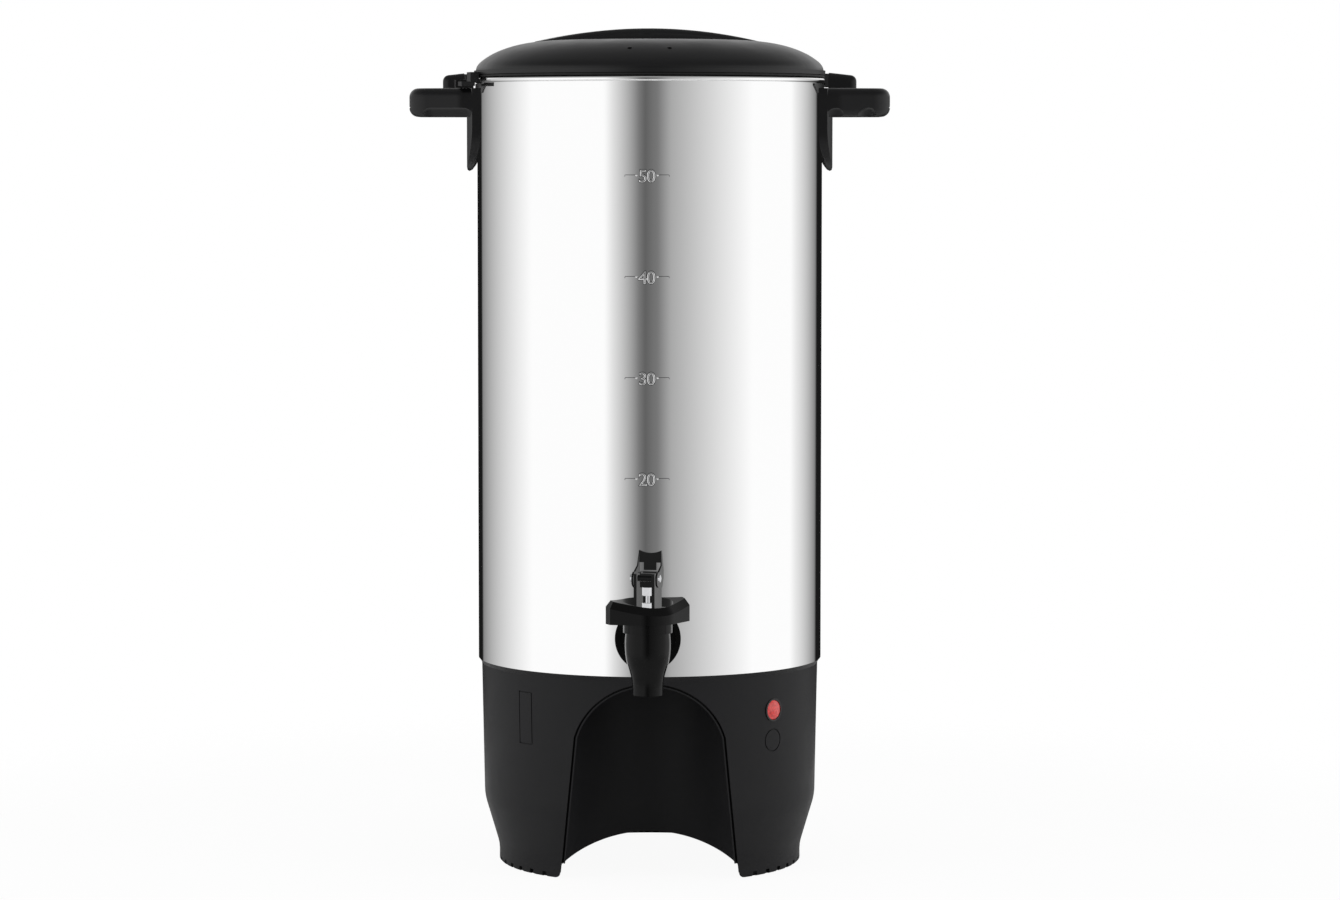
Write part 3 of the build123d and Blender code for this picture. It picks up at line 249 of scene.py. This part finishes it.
def worked_steel():
    """Darkened steel round the foot of a pressed mark: painted shade that outlines the digits and darkens the
    ticks.
    """
    material, tree, shader, place = begin("steel darkened as painted shade", "#565658", 0.2, metallic=1.0)
    vary(tree, shader, grain(tree, place, 0.6, 2.0), "Roughness", 0.16, 0.3)
    return material


def inner_steel():
    """Pressed stainless, left satin: the basket, the tube and the vessel's floor."""
    material, tree, shader, place = begin("satin stainless", "#c4c4c1", 0.3, metallic=1.0)
    vary(tree, shader, grain(tree, place, 4.0, 4.0), "Roughness", 0.22, 0.36)
    emboss(tree, shader, grain(tree, place, 0.6, 2.0), 0.08, 0.02)
    return material


def zinc_steel():
    """Bright zinc plate: bluish with faint yellow passivation."""
    material, tree, shader, place = begin("zinc plate", "#b8bcc2", 0.3, metallic=1.0)
    clouds = grain(tree, place, 5.0, 3.0)
    tint(tree, shader, clouds, "#aeb5c0", "#c9c6b4")
    vary(tree, shader, clouds, "Roughness", 0.24, 0.4)
    return material


def bright_chrome():
    """Plated pins and stem, barrel-polished, so softly bright."""
    material, tree, shader, place = begin("chrome plate", "#cfd0d2", 0.2, metallic=1.0)
    vary(tree, shader, grain(tree, place, 1.5, 3.0), "Roughness", 0.16, 0.26)
    return material


def brass_fittings():
    """Turned brass, with 0.5 mm flecks of tool mark."""
    material, tree, shader, place = begin("turned brass", "#c9a45c", 0.25, metallic=1.0)
    vary(tree, shader, grain(tree, place, 0.5, 2.0), "Roughness", 0.18, 0.34)
    return material


def heater_sheath():
    """Extruded aluminium sheath, dulled by heat."""
    material, tree, shader, place = begin("heat-dulled aluminium", "#a6a6a4", 0.45, metallic=1.0)
    scale = grain(tree, place, 7.0, 4.0)
    tint(tree, shader, scale, "#8e8b86", "#b6b6b5")
    vary(tree, shader, scale, "Roughness", 0.38, 0.55)
    return material


def heater_pad():
    """Rolled aluminium cladding of the keep-warm pad, its grain running from front to back."""
    material, tree, shader, place = begin("aluminium cladding", "#bcbdbe", 0.38, metallic=1.0)
    vary(tree, shader, grain(tree, place, 0.8, 2.0, (1, 0.05, 1)), "Roughness", 0.3, 0.45)
    return material


def bracket_steel():
    """Stove enamel on steel plate: glossy black with slight orange peel."""
    material, tree, shader, place = begin("black enamel", "#0b0b0c", 0.2)
    emboss(tree, shader, grain(tree, place, 1.5, 1.0), 0.15, 0.03)
    vary(tree, shader, grain(tree, place, 8.0), "Roughness", 0.16, 0.26)
    return material


# ---- plastics and rubbers ----
def moulded(name, colour, worn, roughness, grit_mm, relief, gloss):
    """Black thermoplastic with a spark-eroded grain and 18 mm clouds of slightly uneven gloss."""
    material, tree, shader, place = begin(name, colour, roughness, ior=1.48)
    cloud = grain(tree, place, 18.0, 3.0)
    tint(tree, shader, cloud, colour, worn)
    vary(tree, shader, cloud, "Roughness", roughness - 0.04, roughness + 0.05)
    emboss(tree, shader, grain(tree, place, grit_mm, 2.0), relief, 0.03)
    shader.inputs["Specular IOR Level"].default_value = gloss
    return material


def base_plastic():
    """The skirt and the bay: nearly matt, and a shade greyer than the rest."""
    return moulded("grained polypropylene base", "#1b1b1c", "#1f1f20", 0.42, 0.6, 0.1, 0.12)


def handle_plastic():
    """Handles, satin."""
    return moulded("phenolic handle moulding", "#0a0a0b", "#0d0d0e", 0.36, 0.7, 0.08, 0.3)


def lid_plastic():
    """Lid and its grip, satin."""
    return moulded("polypropylene lid moulding", "#0b0b0c", "#0e0e0f", 0.34, 0.6, 0.1, 0.35)


def tap_plastic():
    """The tap's mouldings, smooth but not bright."""
    return moulded("nylon tap moulding", "#080808", "#0a0a0a", 0.12, 0.5, 0.03, 0.14)


def lamp_black():
    """The lamp's bezel, gloss black."""
    return moulded("gloss black nylon", "#060606", "#0a0a0a", 0.2, 0.5, 0.03, 0.4)


def silicone():
    """Moulded silicone: matt black that holds a little dust."""
    material, tree, shader, place = begin("black silicone", "#0a0a0a", 0.6, ior=1.41)
    vary(tree, shader, grain(tree, place, 3.0, 3.0), "Roughness", 0.52, 0.68)
    emboss(tree, shader, grain(tree, place, 0.4), 0.1, 0.02)
    return material


def foot_rubber():
    """Black rubber, greyed by dust in 2 mm patches."""
    material, tree, shader, place = begin("foot rubber", "#0c0c0c", 0.75, ior=1.52)
    dust = grain(tree, place, 2.0, 4.0)
    tint(tree, shader, dust, "#0a0a0a", "#1a1a19")
    emboss(tree, shader, grain(tree, place, 0.5), 0.2, 0.04)
    return material


def control_bakelite():
    """Cream heat-resistant moulding of the thermostat, the block and the fuse's sleeve."""
    material, tree, shader, place = begin("cream bakelite", "#b9b09a", 0.35)
    tint(tree, shader, grain(tree, place, 2.0, 4.0), "#aea48c", "#c6bea9")
    vary(tree, shader, grain(tree, place, 5.0), "Roughness", 0.3, 0.42)
    return material


def lead_insulation():
    """White silicone sleeving, faintly lumpy over the braid under it."""
    material, tree, shader, place = begin("silicone sleeving", "#dcd9cf", 0.55, ior=1.41)
    emboss(tree, shader, grain(tree, place, 0.8, 1.0), 0.25, 0.08)
    vary(tree, shader, grain(tree, place, 6.0), "Roughness", 0.48, 0.62)
    return material


# ---- lamp ----
def lamp_red():
    """Red polycarbonate lens with 1.2 mm prisms moulded behind its smooth face."""
    material, tree, shader, place = begin("red polycarbonate lens", "#d81e1a", 0.08, ior=1.585)
    cells = add(tree, "ShaderNodeTexVoronoi", {"Scale": 1 / (1.2 * MM)}, {"Vector": place})
    tint(tree, shader, cells.outputs["Distance"], "#e8322b", "#a01212")
    shader.inputs["Transmission Weight"].default_value = 0.15
    shader.inputs["Coat Weight"].default_value = 0.6
    shader.inputs["Coat Roughness"].default_value = 0.03
    return material


def lamp_glass():
    """Neon lamp's glass, coloured amber by its gas."""
    material, tree, shader, place = begin("neon lamp glass", "#e8a070", 0.05, ior=1.5)
    vary(tree, shader, grain(tree, place, 2.0), "Roughness", 0.03, 0.09)
    shader.inputs["Transmission Weight"].default_value = 0.7
    return material


FINISHES = {
    make.__name__: make() for make in (
        polished_steel, worked_steel, inner_steel, zinc_steel, bright_chrome, brass_fittings, heater_sheath,
        heater_pad, bracket_steel, base_plastic, handle_plastic, lid_plastic, tap_plastic, lamp_black,
        silicone, foot_rubber, control_bakelite, lead_insulation, lamp_red, lamp_glass,
    )
}


def dress_frame():
    """Gives every part of the frame the finish of its material slot."""
    for part in frame["record"]["subparts"]:
        node = frame["nodes"][part["node"]]
        node.data.materials.clear()
        node.data.materials.append(FINISHES[part["material_slot"]])
        node.visible_glossy = part["material_slot"] not in UNMIRRORED


def stand(name, data):
    """Puts a mesh, lamp or camera into the scene as an object."""
    made = bpy.data.objects.new(name, data)
    bpy.context.scene.collection.objects.link(made)
    return made


# ---- drum ----
def drum_section():
    """Radius and height of the drum's outline: up its outside, round the rolled rim and down its inside."""
    foot, top = (corner.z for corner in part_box("vessel_drum"))
    curl = [RIM_START + (RIM_END - RIM_START) * step / RIM_STEPS for step in range(RIM_STEPS + 1)]
    rim = [(DRUM_R + RIM_R * cos(turn), top - RIM_R + RIM_R * sin(turn)) for turn in curl]
    return [(DRUM_R, foot), *rim, (DRUM_R - DRUM_WALL, foot)]


def smooth_drum():
    """The drum turned finely enough for its mirror finish."""
    section = drum_section()
    rows = len(section)
    steps = [(row, (row + 1) % rows) for row in range(rows)]
    points, faces = [], []
    for side in range(DRUM_SIDES):
        turn = 2 * pi * side / DRUM_SIDES
        points += [(r * sin(turn), -r * cos(turn), z) for r, z in section]
        here, there = side * rows, (side + 1) % DRUM_SIDES * rows
        faces += [(here + row, there + row, there + after, here + after) for row, after in steps]
    mesh = bpy.data.meshes.new("drum")
    mesh.from_pydata(points, [], faces)
    mesh.materials.append(FINISHES["polished_steel"])
    mesh.shade_smooth()
    mesh.set_sharp_from_angle(angle=SHARP_EDGE)
    drum = stand("drum", mesh)
    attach(drum, "root")
    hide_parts("vessel_drum")


# ---- level marks ----
def on_drum(x, z, out=0.0):
    """Point on the drum's front, x and z in mm along its surface and out in mm off it."""
    turn = x * MM / DRUM_R
    reach = DRUM_R + out * MM
    return Vector((reach * sin(turn), -reach * cos(turn), z * MM))


def mesh_of(name, curve):
    """The mesh that a curve or text makes."""
    drawn = stand(name, curve)
    bpy.context.view_layer.update()
    mesh = bpy.data.meshes.new_from_object(drawn.evaluated_get(bpy.context.evaluated_depsgraph_get()))
    bpy.data.objects.remove(drawn)
    return mesh


def digits(text, z, weight, rise):
    """Two pressed digits with rounded strokes, laid round the drum."""
    curve = bpy.data.curves.new(f"digits_{text}", "FONT")
    curve.body = text
    curve.size = FONT_SIZE
    curve.align_x = "CENTER"
    curve.space_character = DIGIT_SPACING
    curve.offset = weight
    curve.bevel_depth = rise
    curve.bevel_resolution = 4
    mesh = mesh_of(curve.name, curve)
    for vertex in mesh.vertices:
        x, y, out = vertex.co
        vertex.co = on_drum(MARK_X + x, z - DIGIT_HEIGHT / 2 + y, out)
    return mesh


def stroke(points):
    """Round-backed ridge through points on the drum, half sunk in its wall."""
    curve = bpy.data.curves.new("stroke", "CURVE")
    curve.dimensions = "3D"
    curve.bevel_depth = STROKE_R * MM
    curve.bevel_resolution = 3
    curve.use_fill_caps = True
    spline = curve.splines.new("POLY")
    spline.points.add(len(points) - 1)
    for point, (x, z) in zip(spline.points, points):
        point.co = (*on_drum(x, z), 1)
    return mesh_of("stroke", curve)


def dot(x, z):
    """Round pip, half sunk in the drum's wall."""
    ball = bmesh.new()
    bmesh.ops.create_uvsphere(ball, u_segments=16, v_segments=10, radius=DOT_R * MM)
    bmesh.ops.translate(ball, vec=on_drum(x, z), verts=ball.verts)
    mesh = bpy.data.meshes.new("dot")
    ball.to_mesh(mesh)
    ball.free()
    return mesh


def tick(side, z):
    """One tick: a short hook down at its outer end, then a level run in to the digits."""
    reaches = [TICK_OUTER + (TICK_INNER - TICK_OUTER) * step / TICK_STEPS for step in range(TICK_STEPS + 1)]
    hook = (MARK_X + side * (TICK_OUTER + HOOK_OUT), z + TICK_RISE - HOOK_DROP)
    return stroke([hook] + [(MARK_X + side * reach, z + TICK_RISE) for reach in reaches])


def level_mark(text, z):
    """One mark: polished digits and dots over a wider outline in darkened steel that is painted shade, with a
    tick on each side painted dark the same way.
    """
    bright, shade_outline = [digits(text, z, BRIGHT_WEIGHT, BRIGHT_RISE)], [digits(text, z, SHADE_OUTLINE_WEIGHT, SHADE_OUTLINE_RISE)]
    for side in (-1, 1):
        bright.append(dot(MARK_X + side * DOT_X, z + DOT_RISE))
        shade_outline.append(tick(side, z))
    joined = bpy.data.meshes.new(f"level_mark_{text}")
    points, faces, finish = [], [], []
    for index, parts in enumerate((bright, shade_outline)):
        for part in parts:
            first = len(points)
            points += [vertex.co[:] for vertex in part.vertices]
            faces += [[first + corner for corner in face.vertices] for face in part.polygons]
            finish += [index] * len(part.polygons)
    joined.from_pydata(points, [], faces)
    joined.materials.append(FINISHES["polished_steel"])
    # Second finish: darkened steel, painted shade round the digits and on the ticks
    joined.materials.append(FINISHES["worked_steel"])
    joined.polygons.foreach_set("material_index", finish)
    joined.shade_smooth()
    mark = stand(joined.name, joined)
    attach(mark, "root")


# ---- studio ----
def fill_ramp(ramp):
    """Lays the studio's brightnesses along a colour ramp that goes once round from -180 to 180 degrees."""
    stops = [stop for _, start, low, end, high in STUDIO for stop in ((start, low), (end, high))]
    while len(ramp) < len(stops):
        ramp.new(0.5)
    for element, (angle, level) in zip(ramp, stops):
        element.position = (angle + 180) / 360
        element.color = grey(level)


def studio_world():
    """The studio for all that is lit or reflected, and plain white where the camera looks past the urn."""
    world = bpy.data.worlds.new("studio")
    bpy.context.scene.world = world
    world.use_nodes = True
    tree = world.node_tree
    tree.nodes.clear()
    direction = add(tree, "ShaderNodeTexCoord").outputs["Generated"]
    right, back, climb = add(tree, "ShaderNodeSeparateXYZ", {}, {"Vector": direction}).outputs
    azimuth = calculate(tree, "ARCTAN2", right, calculate(tree, "MULTIPLY", back, -1.0))
    boxes = add(tree, "ShaderNodeValToRGB", {}, {"Fac": between(tree, azimuth, (-pi, pi))})
    fill_ramp(boxes.color_ramp.elements)
    overhead = between(tree, climb, CEILING_CLIMB, smooth=True)
    roofed = mix(tree, overhead, boxes.outputs["Color"], grey(CEILING))
    foot, top = between(tree, climb, BACK_WALL_FOOT), between(tree, climb, BACK_WALL_TOP)
    behind = between(tree, back, BACK_WALL_DEPTH, smooth=True)
    wall = calculate(tree, "MULTIPLY", behind, calculate(tree, "MULTIPLY", foot, top))
    lit = mix(tree, wall, roofed, grey(BACK_WALL))
    ray = add(tree, "ShaderNodeLightPath").outputs
    straight = calculate(tree, "MAXIMUM", ray["Is Camera Ray"], ray["Is Transmission Ray"])
    shade = add(tree, "ShaderNodeBackground", {}, {"Color": mix(tree, straight, lit, grey(1))})
    add(tree, "ShaderNodeOutputWorld", {}, {"Surface": shade.outputs[0]})


def soft_box(name, place, size, power):
    """Area lamp that is seen only as light on matt surfaces."""
    lamp = bpy.data.lights.new(name, "AREA")
    lamp.shape = "RECTANGLE"
    lamp.size, lamp.size_y = size
    lamp.energy = power
    box = stand(name, lamp)
    box.location = place
    box.rotation_euler = (AIM - Vector(place)).to_track_quat("-Z", "Y").to_euler()
    box.visible_glossy = False
    box.visible_camera = False


def pale_finish():
    """White table top that looks white to the camera and shows little more than the urn's shadow."""
    material = bpy.data.materials.new("pale table top")
    material.use_nodes = True
    tree = material.node_tree
    shader = tree.nodes["Principled BSDF"]
    shader.inputs["Base Color"].default_value = linear("#f4f4f4")
    shader.inputs["Roughness"].default_value = 0.7
    place = add(tree, "ShaderNodeTexCoord").outputs["Object"]
    reach = add(tree, "ShaderNodeVectorMath", {"operation": "LENGTH"}, {0: place}).outputs["Value"]
    edge = between(tree, reach, (FLOOR_CLEAR_R, FLOOR_R), smooth=True)
    seen = add(tree, "ShaderNodeLightPath").outputs["Is Camera Ray"]
    share = calculate(tree, "MULTIPLY", seen, FLOOR_GLOW)
    glow = add(tree, "ShaderNodeEmission", {"Strength": 1.0}).outputs[0]
    whitened = add(tree, "ShaderNodeMixShader", {}, {0: share, 1: shader.outputs[0], 2: glow}).outputs[0]
    clear = add(tree, "ShaderNodeBsdfTransparent").outputs[0]
    faded = add(tree, "ShaderNodeMixShader", {}, {0: edge, 1: whitened, 2: clear}).outputs[0]
    tree.links.new(faded, tree.nodes["Material Output"].inputs["Surface"])
    return material


def table_top():
    """Round table top, just under the urn's feet."""
    turns = [2 * pi * side / FLOOR_SIDES for side in range(FLOOR_SIDES)]
    edge = [(FLOOR_R * cos(turn), FLOOR_R * sin(turn), -FLOOR_DROP) for turn in turns]
    mesh = bpy.data.meshes.new("table_top")
    mesh.from_pydata(edge, [], [list(range(FLOOR_SIDES))])
    mesh.materials.append(pale_finish())
    stand("table_top", mesh)


def camera():
    """Front camera, shifted so that the urn stands left of the frame's middle."""
    lens = bpy.data.cameras.new("front")
    lens.lens = CAMERA_LENS
    lens.shift_x = AXIS_OFFSET_PX / FRAME_WIDTH
    view = stand("front", lens)
    view.location = (0, -CAMERA_DISTANCE, CAMERA_HEIGHT)
    view.rotation_euler = (radians(CAMERA_TILT), 0, 0)
    bpy.context.scene.camera = view


camera()
studio_world()
for name, place, size, power in SOFT_BOXES:
    soft_box(name, place, size, power)
table_top()
bpy.context.scene.view_settings.view_transform = "Standard"

dress_frame()
smooth_drum()
for text, z in LEVELS.items():
    level_mark(text, z)
